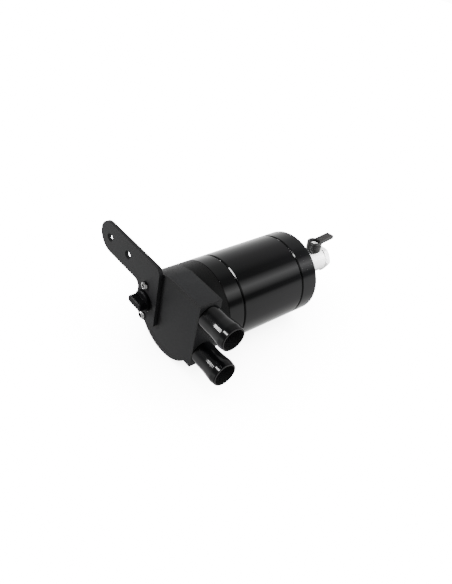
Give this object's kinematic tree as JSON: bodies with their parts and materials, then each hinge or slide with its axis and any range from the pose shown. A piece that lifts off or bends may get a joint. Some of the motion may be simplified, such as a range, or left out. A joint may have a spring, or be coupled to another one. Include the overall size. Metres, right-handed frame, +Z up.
{
  "type": "oil catch can",
  "caption": "Black anodised oil catch can with a billet head, two hose stubs, a flat bracket arm, a wing-grip dipstick and a drain ball valve.",
  "frame": {"origin": "on the canister's axis at the mouth of the drain valve's outlet", "axes": "+Z up the canister's axis from the drain to the head, -Y the way both hose stubs point, +Y the way the bracket arm reaches, +X out of the head's flat side"},
  "size_m": [0.0681, 0.1413, 0.1796],
  "materials": {
    "head_black": "satin black anodised",
    "plate_black": "satin black anodised",
    "can_black": "gloss black",
    "stub_black": "gloss black",
    "knob_black": "gloss",
    "screw_steel": "turned stainless",
    "inner_steel": "satin",
    "drop_alloy": "mill",
    "valve_nickel": "nickel plated",
    "lever_black": "dipped",
    "seal_rubber": "moulded",
    "seat_white": "turned",
    "washer_grey": "zinc plated"
  },
  "bodies": {
    "canister": {"head": "head_black", "inlet_stub": "stub_black", "outlet_stub": "stub_black", "stub_seals": "seal_rubber", "bracket_plate": "plate_black", "bracket_screws": "screw_steel", "collar": "can_black", "head_seal": "seal_rubber", "canister_tube": "can_black", "collar_seal": "seal_rubber", "cap_seal": "seal_rubber", "end_cap": "can_black", "baffle_plate": "inner_steel", "spacer_ring": "inner_steel", "mesh_screen": "inner_steel", "screen_clip": "inner_steel", "drop_tube": "drop_alloy", "drain_washer": "washer_grey", "valve_body": "valve_nickel", "valve_end": "valve_nickel", "valve_seats": "seat_white"},
    "dipstick": {"dipstick_knob": "knob_black", "dipstick_rod": "inner_steel", "dipstick_seal": "seal_rubber"},
    "tap": {"valve_ball": "valve_nickel", "valve_stem": "valve_nickel", "stem_seal": "seal_rubber", "lever": "lever_black", "lever_screw": "valve_nickel"}
  },
  "joints": [
    {"name": "dipstick_lift", "type": "slide", "parent": "canister", "child": "dipstick", "axis": [0, 0, 1], "range_m": [0, 0.105]},
    {"name": "tap_turn", "type": "hinge", "parent": "canister", "child": "tap", "pos_m": [0, 0, 0.0135], "axis": [0.9945, 0.1045, 0], "range_deg": [0, 90]}
  ]
}
